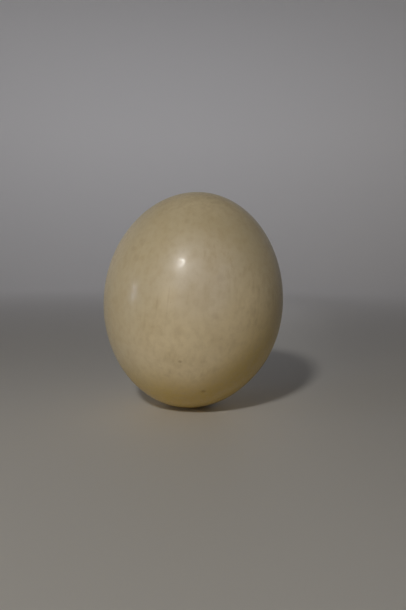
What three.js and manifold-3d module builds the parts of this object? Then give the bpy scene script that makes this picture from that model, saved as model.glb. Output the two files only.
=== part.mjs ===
// An ostrich egg, standing on end with a slight lean.
//
// The egg is one closed natural piece: a thick, smooth, cream-coloured shell, almost as round
// at one end as at the other. Its long axis leans a few degrees from upright, and the lowest
// point of the shell is a small flat spot, on which the egg stands by itself.
//
// Millimetres, +Z up. The origin is the centre of the flat spot, so the egg stands on z = 0.
// The egg leans towards +X.

import * as THREE from "three";
import { mergeVertices } from "three/addons/utils/BufferGeometryUtils.js";
import Module from "manifold-3d";

// Driving dimensions.
const LENGTH = 154; // from end to end, along the egg's own axis
const WIDTH = 127; // across the widest part of the girth
const TAPER = 0.006; // how much wider the upper shoulder is than an ellipse, as a share
const SLENDERNESS = 0.02; // how much narrower both shoulders are than an ellipse, as a share
const LEAN = THREE.MathUtils.degToRad(5.7); // the axis from upright
const REST_SPOT_RADIUS = 8; // of the flat spot that the egg stands on

// Facets.
const FACETS_AROUND = 72;
const RINGS = 40; // from end to end

const SHELL_COLOUR = 0xe3d3ad;
const SHELL_ROUGHNESS = 0.38;

const wasm = await Module();
wasm.setup();

const halfLength = LENGTH / 2;
const halfWidth = WIDTH / 2;

// The egg's shape: its outline from the lower end to the upper one, turned about its axis.
function eggOutline() {
  const points = [];
  for (let ring = 0; ring <= RINGS; ring++) {
    const latitude = Math.PI * (ring / RINGS - 0.5);
    const along = Math.sin(latitude); // -1 at the lower end, 1 at the upper one
    const fullness = 1 + TAPER * along - SLENDERNESS * along * along;
    const atAnEnd = ring === 0 || ring === RINGS;
    const radius = atAnEnd ? 0 : halfWidth * Math.cos(latitude) * fullness;
    points.push(new THREE.Vector2(radius, halfLength * along));
  }
  return points;
}

// Where the leaning egg's centre is, when its flat spot is centred on the origin. Around the
// lower end the egg is an ellipsoid of the end's own half-width. That gives the height of the
// centre over the lowest point, how far to the side of that point it is, and how deep a cut
// makes a spot of the wanted size.
function standingPlace() {
  const endHalfWidth = halfWidth * (1 - TAPER - SLENDERNESS);
  const [sin, cos] = [Math.sin(LEAN), Math.cos(LEAN)];
  const centreHeight = Math.hypot(halfLength * cos, endHalfWidth * sin);
  const sideShift = ((halfLength ** 2 - endHalfWidth ** 2) * sin * cos) / centreHeight;
  const endCurveRadius = endHalfWidth ** 2 / halfLength;
  const spotDepth = endCurveRadius - Math.sqrt(endCurveRadius ** 2 - REST_SPOT_RADIUS ** 2);
  const shareAboveSpot = 1 - spotDepth / centreHeight;
  return new THREE.Vector3(sideShift * shareAboveSpot, 0, centreHeight - spotDepth);
}

function toSolid(geometry) {
  const bare = geometry.clone();
  bare.deleteAttribute("normal");
  bare.deleteAttribute("uv");
  const merged = mergeVertices(bare);
  return new wasm.Manifold(
    new wasm.Mesh({
      numProp: 3,
      vertProperties: merged.getAttribute("position").array,
      triVerts: new Uint32Array(merged.getIndex().array),
    }),
  );
}

function toGeometry(solid) {
  const { vertProperties, triVerts } = solid.getMesh();
  const geometry = new THREE.BufferGeometry();
  geometry.setAttribute("position", new THREE.BufferAttribute(vertProperties, 3));
  geometry.setIndex(new THREE.BufferAttribute(triVerts, 1));
  geometry.computeVertexNormals();
  return geometry;
}

// The whole egg, leaning and in place, with what lies below z = 0 taken off.
function eggGeometry() {
  const place = standingPlace();
  const whole = new THREE.LatheGeometry(eggOutline(), FACETS_AROUND);
  whole.rotateX(Math.PI / 2); // the lathe turns about Y, and the egg's axis is Z
  whole.rotateY(LEAN);
  whole.translate(place.x, place.y, place.z);
  const aboveGround = new THREE.BoxGeometry(2 * LENGTH, 2 * LENGTH, 2 * LENGTH);
  aboveGround.translate(0, 0, LENGTH);
  return toGeometry(toSolid(whole).intersect(toSolid(aboveGround)));
}

function eggshellMaterial() {
  return new THREE.MeshStandardMaterial({
    color: SHELL_COLOUR,
    roughness: SHELL_ROUGHNESS,
    metalness: 0,
  });
}

const egg = new THREE.Mesh(eggGeometry(), eggshellMaterial());
egg.name = "egg";

const ostrichEgg = new THREE.Group();
ostrichEgg.add(egg);

export default ostrichEgg;
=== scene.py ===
from math import cos, hypot, pi, radians, sin

import bpy
from mathutils import Euler, Matrix, Vector


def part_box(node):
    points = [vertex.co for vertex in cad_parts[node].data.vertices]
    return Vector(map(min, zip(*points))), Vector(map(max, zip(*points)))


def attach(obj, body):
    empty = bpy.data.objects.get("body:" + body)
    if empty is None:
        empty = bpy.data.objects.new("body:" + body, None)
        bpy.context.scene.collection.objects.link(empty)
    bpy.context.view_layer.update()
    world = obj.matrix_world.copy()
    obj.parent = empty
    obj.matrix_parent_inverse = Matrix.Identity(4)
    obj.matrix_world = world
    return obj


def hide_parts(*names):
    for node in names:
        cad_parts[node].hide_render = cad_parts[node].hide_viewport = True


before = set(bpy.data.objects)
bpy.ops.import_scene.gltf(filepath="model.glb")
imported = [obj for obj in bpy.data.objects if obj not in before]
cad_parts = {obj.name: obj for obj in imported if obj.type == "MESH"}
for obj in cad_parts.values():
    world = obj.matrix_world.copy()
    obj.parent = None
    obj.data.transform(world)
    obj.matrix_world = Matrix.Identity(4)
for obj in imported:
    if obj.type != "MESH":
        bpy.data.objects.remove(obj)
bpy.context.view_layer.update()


# ---------------------------------------------------------------------------------------------
# The shell. An ostrich egg is one closed shell of chalky mineral about 2 mm thick, laid in one
# piece, with one end hardly blunter than the other. It stands by itself on a small flat spot,
# with its long axis leaning a few degrees to the right.
# ---------------------------------------------------------------------------------------------

MM = 0.001
HALF_LENGTH = 77 * MM
LEAN = radians(5.7)
TAPER = 0.006  # how much wider the upper shoulder is than an ellipse, as a share
SLENDERNESS = 0.02  # how much narrower both shoulders are than an ellipse, as a share
SMOOTHNESS = 6  # times that each face of the block is split in four
FACE_WIDTH = 1.9 * MM  # of the widest of the faces that this makes
TIP_REACH = 0.1 * MM  # close enough to the tip to be its one vertex
FULLER_TURN, FULLER_HEIGHT = 90, -28  # where the egg is fuller: degrees to the right, and mm up
FULLNESS = 0.9 * MM
FULLER_REACH = 62 * MM
UNEVENNESS = 0.25 * MM  # from the lowest places to the highest
UNEVENNESS_SIZE = 26 * MM
PIT_CUTS = 5  # across each face round a pit
PIT_MIDDLE = 0.7 * FACE_WIDTH / PIT_CUTS  # the points this close to a pit's middle are pushed in
PIT_SURROUND = 3 * FACE_WIDTH  # how far round a pit the faces are made into triangles
CUT_TOLERANCE = 0.001 * MM

# Large pores: how far round the axis from the front, in degrees to the right, how far up the
# axis from the middle, and how wide and how deep, in mm.
PITS = (
    (-3.8, -34.2, 1.8, 0.15),
    (17.8, -55.1, 2.4, 0.30),
    (71.0, 12.4, 1.4, 0.20),
    (98.5, -41.6, 1.8, 0.25),
    (133.0, 38.9, 1.5, 0.20),
    (158.2, -12.7, 1.9, 0.30),
    (-169.4, 49.5, 1.4, 0.20),
    (-146.8, -37.3, 1.8, 0.25),
    (-121.5, 16.8, 1.6, 0.20),
    (-86.3, -25.1, 1.5, 0.20),
    (-70.6, 51.2, 1.4, 0.20),
)

lowest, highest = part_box("egg")
half_width = (highest.y - lowest.y) / 2
centre = Vector((
    (lowest.x + highest.x) / 2,
    (lowest.y + highest.y) / 2,
    highest.z - hypot(HALF_LENGTH * cos(LEAN), half_width * sin(LEAN)),
))


def finish_modifier(piece, kind, **settings):
    """Adds a modifier to the active piece and applies it."""
    modifier = piece.modifiers.new(kind.lower(), kind)
    for name, value in settings.items():
        setattr(modifier, name, value)
    bpy.ops.object.modifier_apply(modifier=modifier.name)


def select_near(piece, middle, reach):
    """Goes into edit mode with only the vertices selected that are within reach of middle."""
    bpy.ops.object.mode_set(mode="EDIT")
    bpy.ops.mesh.select_mode(type="VERT")
    bpy.ops.mesh.select_all(action="DESELECT")
    bpy.ops.object.mode_set(mode="OBJECT")
    for vertex in piece.data.vertices:
        vertex.select = (vertex.co - middle).length < reach
    bpy.ops.object.mode_set(mode="EDIT")


# A block is rounded into a ball whose faces are all much alike, with no poles, and the ball is
# drawn in to the width of the girth. It is built upright about the origin.
bpy.ops.object.select_all(action="DESELECT")
bpy.ops.mesh.primitive_cube_add(size=2 * HALF_LENGTH)
shell = bpy.context.object
shell.name = shell.data.name = "shell"
finish_modifier(shell, "SUBSURF", levels=SMOOTHNESS, render_levels=SMOOTHNESS)
finish_modifier(shell, "CAST", factor=1, use_radius_as_size=False, size=HALF_LENGTH, radius=0)

girth_share = half_width / HALF_LENGTH
bpy.ops.object.mode_set(mode="EDIT")
bpy.ops.mesh.select_all(action="SELECT")
bpy.ops.transform.resize(value=(girth_share, girth_share, 1), center_override=(0, 0, 0))

# Each end is drawn in, most at its tip and less and less towards the girth.
for end in (1, -1):
    tip_share = 1 + end * TAPER - SLENDERNESS
    select_near(shell, Vector((0, 0, end * HALF_LENGTH)), TIP_REACH)
    bpy.ops.transform.resize(
        value=(tip_share, tip_share, 1),
        center_override=(0, 0, 0),
        use_proportional_edit=True,
        proportional_edit_falloff="SMOOTH",
        proportional_size=hypot(HALF_LENGTH, half_width),
    )

# The egg is leant over and put in its place.
bpy.ops.object.mode_set(mode="OBJECT")
shell.rotation_euler.y = LEAN
shell.location = centre
bpy.ops.object.transform_apply(location=True, rotation=True, scale=True)


def on_shell(turn, height):
    """The point of the shell at that turn round the axis and that height up it, in mm."""
    lean = Matrix.Rotation(LEAN, 3, "Y")
    outwards = lean @ Vector((sin(radians(turn)), -cos(radians(turn)), 0))
    start = centre + lean @ Vector((0, 0, height * MM)) + 2 * half_width * outwards
    return shell.ray_cast(start, -outwards)[1]


# No egg is quite regular: below its girth this one is a little fuller on the side that it leans
# to, and the whole surface is very slightly uneven.
select_near(shell, on_shell(FULLER_TURN, FULLER_HEIGHT), FACE_WIDTH)
bpy.ops.transform.translate(
    value=(FULLNESS, 0, 0),
    use_proportional_edit=True,
    proportional_edit_falloff="SMOOTH",
    proportional_size=FULLER_REACH,
)
bpy.ops.object.mode_set(mode="OBJECT")

unevenness = bpy.data.textures.new("unevenness", "CLOUDS")
unevenness.noise_scale = UNEVENNESS_SIZE
finish_modifier(shell, "DISPLACE", texture=unevenness, strength=UNEVENNESS, mid_level=0.5)

# Each large pore is a real pit: the faces round it are divided more finely, and its middle is
# pushed in and takes its neighbours with it. The faces there then become triangles, split along
# the shorter diagonal so that no sliver is left where fine faces meet coarse ones.
for turn, height, width, depth in PITS:
    mouth = on_shell(turn, height)
    inwards = (centre - mouth).normalized()
    pit_radius = width / 2 * MM
    select_near(shell, mouth, pit_radius + FACE_WIDTH)
    bpy.ops.mesh.subdivide(number_cuts=PIT_CUTS, smoothness=1, ngon=False)
    select_near(shell, mouth, PIT_MIDDLE)
    bpy.ops.transform.translate(
        value=depth * MM * inwards,
        use_proportional_edit=True,
        proportional_edit_falloff="SMOOTH",
        proportional_size=pit_radius,
    )
    select_near(shell, mouth, pit_radius + PIT_SURROUND)
    bpy.ops.mesh.quads_convert_to_tris(quad_method="SHORTEST_DIAGONAL", ngon_method="BEAUTY")
    bpy.ops.object.mode_set(mode="OBJECT")

# The flat spot is cut at the ground.
bpy.ops.object.mode_set(mode="EDIT")
bpy.ops.mesh.select_all(action="SELECT")
bpy.ops.mesh.bisect(
    plane_co=(0, 0, lowest.z),
    plane_no=(0, 0, 1),
    threshold=CUT_TOLERANCE,
    use_fill=True,
    clear_inner=True,
)
bpy.ops.mesh.mark_sharp()
bpy.ops.object.mode_set(mode="OBJECT")
bpy.ops.object.shade_smooth()


# ---------------------------------------------------------------------------------------------
# The shell's finish. Smooth cream eggshell under an uneven film of wax. It is mottled, clouded
# and finely lined from end to end, with pores all over, a yellower lower end, and slight scuffs
# round the spot that it stands on. Painted light and shade lie in some patches: a paler sheen
# round the highlight, warm light at the top, low in front and on the right, and warm shade low on
# the right and at the lower end.
# ---------------------------------------------------------------------------------------------

# Where a Mix node for colours keeps its share, its two colours and its result.
MIX_SHARE, MIX_FROM, MIX_TO, MIX_RESULT = 0, 6, 7, 2


class Socket:
    """What one output of a material's node carries. Arithmetic on it adds Math nodes."""

    def __init__(self, output):
        self.output = output

    def node(self, kind, settings=None, inputs=None, result=0):
        """Adds a node, with its settings made first and then its inputs set or linked."""
        tree = self.output.id_data
        made = tree.nodes.new(kind)
        for name, value in (settings or {}).items():
            setattr(made, name, value)
        for name, value in (inputs or {}).items():
            if isinstance(value, Socket):
                tree.links.new(value.output, made.inputs[name])
            else:
                made.inputs[name].default_value = value
        return Socket(made.outputs[result])

    def maths(self, operation, *values):
        return self.node("ShaderNodeMath", {"operation": operation}, dict(enumerate(values)))

    def __add__(self, other):
        return self.maths("ADD", self, other)

    def __radd__(self, other):
        return self.maths("ADD", other, self)

    def __sub__(self, other):
        return self.maths("SUBTRACT", self, other)

    def __rsub__(self, other):
        return self.maths("SUBTRACT", other, self)

    def __mul__(self, other):
        return self.maths("MULTIPLY", self, other)

    def __rmul__(self, other):
        return self.maths("MULTIPLY", other, self)

    def __abs__(self):
        return self.maths("ABSOLUTE", self)

    def at_least(self, low):
        return self.maths("MAXIMUM", self, low)

    def rise(self, low, high):
        """0 below low and 1 above high, with a smooth rise between them."""
        settings = {"interpolation_type": "SMOOTHSTEP"}
        inputs = {"Value": self, "From Min": low, "From Max": high}
        return self.node("ShaderNodeMapRange", settings, inputs)

    def fade(self, low, high):
        """1 below low and 0 above high."""
        return 1 - self.rise(low, high)

    def noise(self, size, detail=2.0):
        """Soft noise at this place in the piece, from 0 to 1, with blobs about that size."""
        inputs = {"Vector": self, "Scale": 1 / size, "Detail": detail}
        return self.node("ShaderNodeTexNoise", {}, inputs)

    def dots(self, spacing, radius):
        """1 in the middle of each dot and 0 outside its radius."""
        inputs = {"Vector": self, "Scale": 1 / spacing}
        return self.node("ShaderNodeTexVoronoi", {}, inputs).fade(0, radius / spacing)

    def towards(self, colour, share):
        """This colour, mixed with another one by that share."""
        inputs = {MIX_SHARE: share, MIX_FROM: self, MIX_TO: colour}
        return self.node("ShaderNodeMix", {"data_type": "RGBA"}, inputs, MIX_RESULT)

    def placed(self, middle=(0, 0, 0), turn=(0, 0, 0), size=(1, 1, 1)):
        """This place as seen from middle, along axes turned by turn, and measured in size."""
        inputs = {"Vector": self, "Location": middle, "Rotation": turn, "Scale": size}
        return self.node("ShaderNodeMapping", {"vector_type": "TEXTURE"}, inputs)

    def length(self):
        return self.node("ShaderNodeVectorMath", {"operation": "LENGTH"}, {0: self}, "Value")

    def part(self, name):
        """One coordinate of this place: X, Y or Z."""
        return self.node("ShaderNodeSeparateXYZ", {}, {0: self}, name)


def new_finish(name):
    """A new material: its shader node, and places in the piece as a Socket."""
    material = bpy.data.materials.new(name)
    material.use_nodes = True
    shader = material.node_tree.nodes["Principled BSDF"]
    places = material.node_tree.nodes.new("ShaderNodeTexCoord")
    return material, shader, Socket(places.outputs["Object"])


CREAM = (0.79, 0.66, 0.425, 1)
PALE_AND_SHEEN = (0.94, 0.81, 0.615, 1)
WARM_AND_LIT = (0.95, 0.79, 0.515, 1)
CLOUD = (0.69, 0.53, 0.285, 1)
YELLOWED_AND_SHADED = (0.70, 0.50, 0.13, 1)
BROWN = (0.37, 0.19, 0.03, 1)

SHELL_GLOSS_IOR = 1.5
SHELL_ROUGHNESS = 0.38
FILM_ROUGHNESS = 0.18
THINNEST_FILM = 0.13  # the wax's share of the gloss where it is thinnest

# How large the patterns on the shell are, in mm.
CLOUD_SIZE = 18
MOTTLE_SIZE = 4
MOTTLE_STRETCH = 1.25  # how many times longer than wide, along the egg
LINE_SIZE = 2.2
LINE_STRETCH = 26
LINED_PART_SIZE = 40
LINES_END = 35, 60  # how far up or down from the middle of the egg the lines fade away
FILM_SIZE = 1.6
SCUFF_SIZE = 2
SCUFFS_END = 7.2, 12  # how far from the middle of the flat spot the scuffs fade away
PORE_SPACING, PORE_RADIUS, PORE_DEPTH = 1.9, 0.32, 0.10
PORED_PART_SIZE = 11
SPECK_SPACING, SPECK_RADIUS = 9, 0.55
RIPPLE_SIZE, RIPPLE_HEIGHT = 5, 0.03
GRAIN_SIZE, GRAIN_HEIGHT = 0.7, 0.02

# The yellow stain at the lower end is partly the shell's own and partly painted warm shade. Its
# numbers: between which heights up the axis it fades away, how much higher it climbs to the
# right, into the shaded side, from how far aside, and how ragged its edge is, in mm.
STAIN_FADES = -68, -38
STAIN_SLOPE = 0.69
STAIN_CLIMBS_FROM = 8
STAIN_RAGGEDNESS = 10
STAIN_RAG_SIZE = 30

# Marks on the shell, placed as the pits are: the turn, the height, and how wide and long in mm.
# The first pale patch, on the front round the highlight, is painted sheen: paler and greyer where
# the gloss spreads round the highlight. The other two are the shell's own paler tone.
PALE_AND_SHEEN_PATCHES = (
    (5, 13, 84, 102),
    (128, 14, 90, 110),
    (-125, -6, 80, 100),
)
# Of the warm patches, the one at the top is painted light falling from above. The one low in
# front is painted warm light thrown up from the floor, and the one on the right flank is painted
# warm fill light. The two round the back and on the left are the shell's own warmer tone.
WARM_AND_LIT_PATCHES = (
    (0, 76, 104, 68),
    (2, -29, 124, 92),
    (36, -2, 56, 84),
    (150, -30, 80, 90),
    (-90, 30, 80, 90),
)
# The yellowed patch low on the right flank is painted warm shade, on the side that turns away
# from the key lamp. The one round the back is the shell's own stain.
YELLOWED_AND_SHADED_PATCHES = (
    (58, -30, 90, 100),
    (-165, -20, 70, 80),
)
BLOTCHES = (
    (0.9, 63.6, 6, 6),
    (-11.7, 54.1, 6, 6),
    (-40.5, 37.8, 8, 8),
    (-47.1, 32.6, 8, 6),
    (-41.0, 27.2, 8, 8),
    (15.2, 21.1, 8, 8),
    (-6.3, -14.9, 10, 8),
    (13.5, -2.5, 8, 6),
    (17.8, -55.1, 7, 6),
    (62.0, 44.0, 9, 7),
    (88.0, 18.0, 7, 9),
    (104.0, -15.0, 10, 8),
    (127.0, 56.0, 7, 7),
    (139.0, -33.0, 9, 8),
    (163.0, 20.0, 8, 10),
    (-172.0, -8.0, 10, 8),
    (-151.0, 36.0, 8, 8),
    (-133.0, -20.0, 9, 7),
    (-112.0, 48.0, 7, 7),
    (-98.0, 2.0, 8, 10),
    (-76.0, -46.0, 9, 7),
)
FINE_LINES = (
    (-20.0, -1.5, 1.8, 24),
    (-13.7, 7.0, 1.8, 32),
    (57.0, 10.0, 1.8, 26),
    (76.0, -20.0, 1.6, 20),
    (118.0, 14.0, 1.8, 30),
    (147.0, -6.0, 1.8, 22),
    (-166.0, 22.0, 1.6, 28),
    (-128.0, -2.0, 1.8, 24),
    (-104.0, -30.0, 1.6, 18),
    (-84.0, 25.0, 1.8, 26),
)
PALE_CLEARNESS = 0.45  # how much of the mottling is missing from a pale patch, as a share
MARK_CORE = 0.2  # how much of a mark's reach is at full strength, as a share

# The dark rim round each pit is wider than the pit itself.
PIT_RIMS = [(turn, height, 2 * width, 1.6 * width) for turn, height, width, _ in PITS]

upright = (0, LEAN, 0)  # turns a mark or a pattern so that its Z lies along the egg's axis


def marks(places, rows):
    """1 in the middle of the marks and 0 outside them."""
    total = 0
    for turn, height, width, length in rows:
        size = (width / 2 * MM, width / 2 * MM, length / 2 * MM)
        near = places.placed(on_shell(turn, height), upright, size)
        total = near.length().fade(MARK_CORE, 1) + total
    return total


material, shader, places = new_finish("waxed eggshell")
along = places.placed(centre, upright, (MM, MM, MM))  # in mm, with Z along the egg's axis
up_axis = along.part("Z")
aside = along.part("X")

# Where each mark and pattern is: 1 where it is full and 0 where there is none of it. The limits
# of a noise say how much of the shell it covers and how soft its edges are.
paler_and_sheen = marks(places, PALE_AND_SHEEN_PATCHES)
warmer_and_lit = marks(places, WARM_AND_LIT_PATCHES)
yellower_and_shaded = marks(places, YELLOWED_AND_SHADED_PATCHES)
blotches = marks(places, BLOTCHES)
fine_lines = marks(places, FINE_LINES)
pits = marks(places, PIT_RIMS)
clouds = along.noise(CLOUD_SIZE, detail=3).rise(0.4, 0.75)
longish = along.placed(size=(1, 1, MOTTLE_STRETCH))
mottle = longish.noise(MOTTLE_SIZE, detail=3).rise(0.35, 0.8) * (1 - PALE_CLEARNESS * paler_and_sheen)
drawn_out = along.placed(size=(1, 1, LINE_STRETCH))
lined_part = along.noise(LINED_PART_SIZE, detail=1).rise(0.4, 0.6) * abs(up_axis).fade(*LINES_END)
lines = drawn_out.noise(LINE_SIZE, detail=2).rise(0.5, 0.75) * lined_part
film = along.noise(FILM_SIZE, detail=2).rise(0.35, 0.65)
from_rest_spot = places.placed(size=(MM, MM, MM)).length()
scuffed_part = from_rest_spot.fade(*SCUFFS_END)
scuffs = along.noise(SCUFF_SIZE).rise(0.3, 0.6) * scuffed_part
pored_part = along.noise(PORED_PART_SIZE).rise(0.3, 0.6)
pores = along.dots(PORE_SPACING, PORE_RADIUS) * pored_part
specks = along.dots(SPECK_SPACING, SPECK_RADIUS)
rag = STAIN_RAGGEDNESS * along.noise(STAIN_RAG_SIZE, detail=3)
stained_and_shaded = (up_axis - STAIN_SLOPE * aside.at_least(STAIN_CLIMBS_FROM) + rag).fade(*STAIN_FADES)

# The colour, in layers. Each number is how strong that mark is where it is full.
colour = places.node("ShaderNodeRGB")
colour.output.default_value = CREAM
# Painted sheen on the front round the highlight, and the shell's own paler tone round the back.
colour = colour.towards(PALE_AND_SHEEN, paler_and_sheen)
# Painted light at the top, low in front and on the right, and the shell's warmer tone elsewhere.
colour = colour.towards(WARM_AND_LIT, warmer_and_lit)
# Painted warm shade low on the right, and the shell's own stain round the back.
colour = colour.towards(YELLOWED_AND_SHADED, 0.6 * yellower_and_shaded)
# The shell's yellowed lower end with painted warm shade, reaching higher up the shaded right
# side.
colour = colour.towards(YELLOWED_AND_SHADED, stained_and_shaded)
colour = colour.towards(CLOUD, 0.25 * clouds + 0.42 * mottle + 0.24 * lines)
colour = colour.towards(BROWN, 0.16 * pores + 0.12 * blotches + 0.12 * fine_lines + 0.3 * specks)
colour = colour.towards(BROWN, 0.4 * pits + 0.2 * scuffs)
roughness = SHELL_ROUGHNESS + 0.05 * clouds + 0.04 * mottle + 0.1 * pores + 0.15 * scuffs
coat = THINNEST_FILM + 0.26 * film - 0.1 * scuffs

ripples = RIPPLE_HEIGHT * along.noise(RIPPLE_SIZE)
grain = GRAIN_HEIGHT * along.noise(GRAIN_SIZE, detail=1)
relief = ripples + grain - PORE_DEPTH * pores
bump = relief.node("ShaderNodeBump", {}, {"Height": relief, "Distance": MM, "Strength": 1.0})

tree = material.node_tree
tree.links.new(colour.output, shader.inputs["Base Color"])
tree.links.new(roughness.output, shader.inputs["Roughness"])
tree.links.new(coat.output, shader.inputs["Coat Weight"])
tree.links.new(bump.output, shader.inputs["Normal"])
shader.inputs["IOR"].default_value = SHELL_GLOSS_IOR
shader.inputs["Coat Roughness"].default_value = FILM_ROUGHNESS
shell.data.materials.append(material)

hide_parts("egg")
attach(shell, "root")


# ---------------------------------------------------------------------------------------------
# The floor. A pale, matt round sheet that curves up all round into its own backdrop. A soft pool
# of painted light lies on the backdrop behind the egg: the sheet's own material glows there, and
# no lamp lights it.
# ---------------------------------------------------------------------------------------------

FLOOR_RADIUS = 1.2
FLOOR_SIDES = 128
COVE_RADIUS = 0.5
COVE_STEPS = 16
BACKDROP_HEIGHT = 1.4
FLOOR_COLOUR = (0.74, 0.71, 0.66, 1)
FLOOR_ROUGHNESS = 0.6
POOL_PLACE = (-0.25, 1.7, 0.55)
POOL_REACH = (2.8, 2.0, 1.3)
PAINTED_POOL_COLOUR = (0.185, 0.185, 0.20, 1)
UNLIT = (0, 0, 0, 1)

# The sheet's rim at each step, out and up the cove and then to the top: its radius and height.
rims = []
for step in range(1, COVE_STEPS + 1):
    angle = pi / 2 * step / COVE_STEPS
    rims.append((FLOOR_RADIUS + COVE_RADIUS * sin(angle), COVE_RADIUS * (1 - cos(angle))))
rims.append((FLOOR_RADIUS + COVE_RADIUS, BACKDROP_HEIGHT))

bpy.ops.object.select_all(action="DESELECT")
bpy.ops.mesh.primitive_circle_add(vertices=FLOOR_SIDES, radius=FLOOR_RADIUS, fill_type="NGON")
floor = bpy.context.object
floor.name = "floor"
bpy.ops.object.mode_set(mode="EDIT")
bpy.ops.mesh.select_all(action="SELECT")
radius, height = FLOOR_RADIUS, 0
for new_radius, new_height in rims:
    growth = new_radius / radius
    bpy.ops.mesh.extrude_edges_move(TRANSFORM_OT_translate={"value": (0, 0, new_height - height)})
    bpy.ops.transform.resize(value=(growth, growth, 1), center_override=(0, 0, 0))
    radius, height = new_radius, new_height
bpy.ops.object.mode_set(mode="OBJECT")
bpy.ops.object.shade_smooth()

floor_material, floor_shader, floor_places = new_finish("floor")
# The pool is painted light: the backdrop glows there by itself.
in_painted_pool = floor_places.placed(middle=POOL_PLACE, size=POOL_REACH).length().fade(0, 1)
painted_glow = floor_places.node("ShaderNodeRGB")
painted_glow.output.default_value = UNLIT
painted_glow = painted_glow.towards(PAINTED_POOL_COLOUR, in_painted_pool)
floor_material.node_tree.links.new(painted_glow.output, floor_shader.inputs["Emission Color"])
floor_shader.inputs["Emission Strength"].default_value = 1.0
floor_shader.inputs["Base Color"].default_value = FLOOR_COLOUR
floor_shader.inputs["Roughness"].default_value = FLOOR_ROUGHNESS
floor.data.materials.append(floor_material)


# ---------------------------------------------------------------------------------------------
# The lights. The key is a small soft lamp up on the left in front. A faint cool lamp stands low
# on the left, a warm one low in front and a white one behind, and dim light comes from all round.
# ---------------------------------------------------------------------------------------------

# Each lamp: its name, its place, how wide and how high it is, its power in watts, its colour, and
# how wide its beam is in degrees.
LAMPS = (
    ("key", (-0.2525, -0.824, 0.698), 0.11, 0.11, 3.06, (1.0, 0.99, 0.97), 180),
    ("side", (-1.0, -0.25, 0.20), 0.12, 0.24, 0.026, (0.66, 0.77, 1.0), 34),
    ("fill", (-0.64, -1.12, 0.26), 0.35, 0.35, 0.044, (1.0, 0.80, 0.42), 40),
    ("back", (0.12, 1.1, 0.14), 0.4, 0.2, 0.015, (1.0, 1.0, 1.0), 40),
)
DIM_COLOUR = (0.95, 0.97, 1.0, 1)
DIM_STRENGTH = 0.008

for name, place, width, height, power, tint, beam in LAMPS:
    bpy.ops.object.light_add(type="AREA", location=place)
    lamp = bpy.context.object
    lamp.name = name
    lamp.rotation_euler = (centre - Vector(place)).to_track_quat("-Z", "Y").to_euler()
    lamp.visible_camera = False
    lamp.data.shape = "ELLIPSE"
    lamp.data.size = width
    lamp.data.size_y = height
    lamp.data.energy = power
    lamp.data.color = tint
    lamp.data.spread = radians(beam)

world = bpy.data.worlds.new("dim")
world.use_nodes = True
background = world.node_tree.nodes["Background"]
background.inputs["Color"].default_value = DIM_COLOUR
background.inputs["Strength"].default_value = DIM_STRENGTH
bpy.context.scene.world = world


# ---------------------------------------------------------------------------------------------
# The camera. It looks from level with the egg's upper half and a little down, with a slight
# roll. Its lens is a moderately wide one, and everything is in focus.
# ---------------------------------------------------------------------------------------------

PICTURE_HEIGHT = 610  # pixels, along the sensor's long side
SENSOR_HEIGHT = 36.0  # mm
FOCAL_PIXELS = 600
PITCH = radians(5.4)
ROLL = radians(0.56)
NEAREST_SEEN = 0.01

# Where the camera sees the middle of the egg: to the right, up and ahead.
EGG_RIGHT = -0.0909 * HALF_LENGTH
EGG_UP = 0.0405 * HALF_LENGTH
EGG_AHEAD = 5.598 * HALF_LENGTH

camera_turn = Euler((pi / 2 - PITCH, 0, 0)).to_matrix() @ Matrix.Rotation(ROLL, 3, "Z")
camera_place = centre - camera_turn @ Vector((EGG_RIGHT, EGG_UP, -EGG_AHEAD))
bpy.ops.object.camera_add(location=camera_place, rotation=camera_turn.to_euler())
camera = bpy.context.object
camera.data.sensor_width = SENSOR_HEIGHT
camera.data.lens = SENSOR_HEIGHT * FOCAL_PIXELS / PICTURE_HEIGHT
camera.data.clip_start = NEAREST_SEEN
bpy.context.scene.camera = camera
bpy.context.scene.view_settings.view_transform = "Standard"

bpy.context.view_layer.update()
